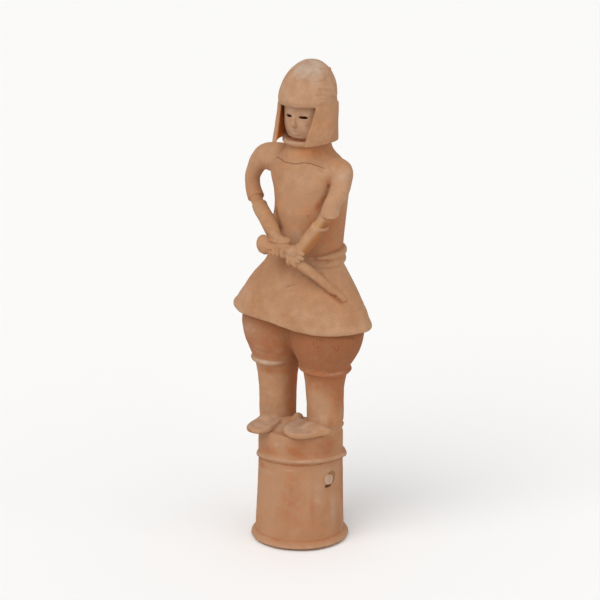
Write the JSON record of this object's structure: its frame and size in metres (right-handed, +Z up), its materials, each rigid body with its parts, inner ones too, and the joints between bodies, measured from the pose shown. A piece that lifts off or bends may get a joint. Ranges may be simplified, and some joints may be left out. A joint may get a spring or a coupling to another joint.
{
  "type": "haniwa figure",
  "caption": "Fired-clay warrior figure in a helmet and flared skirt, both hands on a sword laid across the skirt, standing on a hollow cylinder.",
  "frame": {"origin": "middle of the figure's bounding box, on the plane the base stands on", "axes": "+Z up, the figure faces -Y, its own left side is +X"},
  "size_m": [0.411, 0.273, 1.2838],
  "materials": {
    "fired_clay": "matt, unglazed, weathered"
  },
  "bodies": {
    "root": {"haniwa_figure": "fired_clay"}
  },
  "joints": []
}
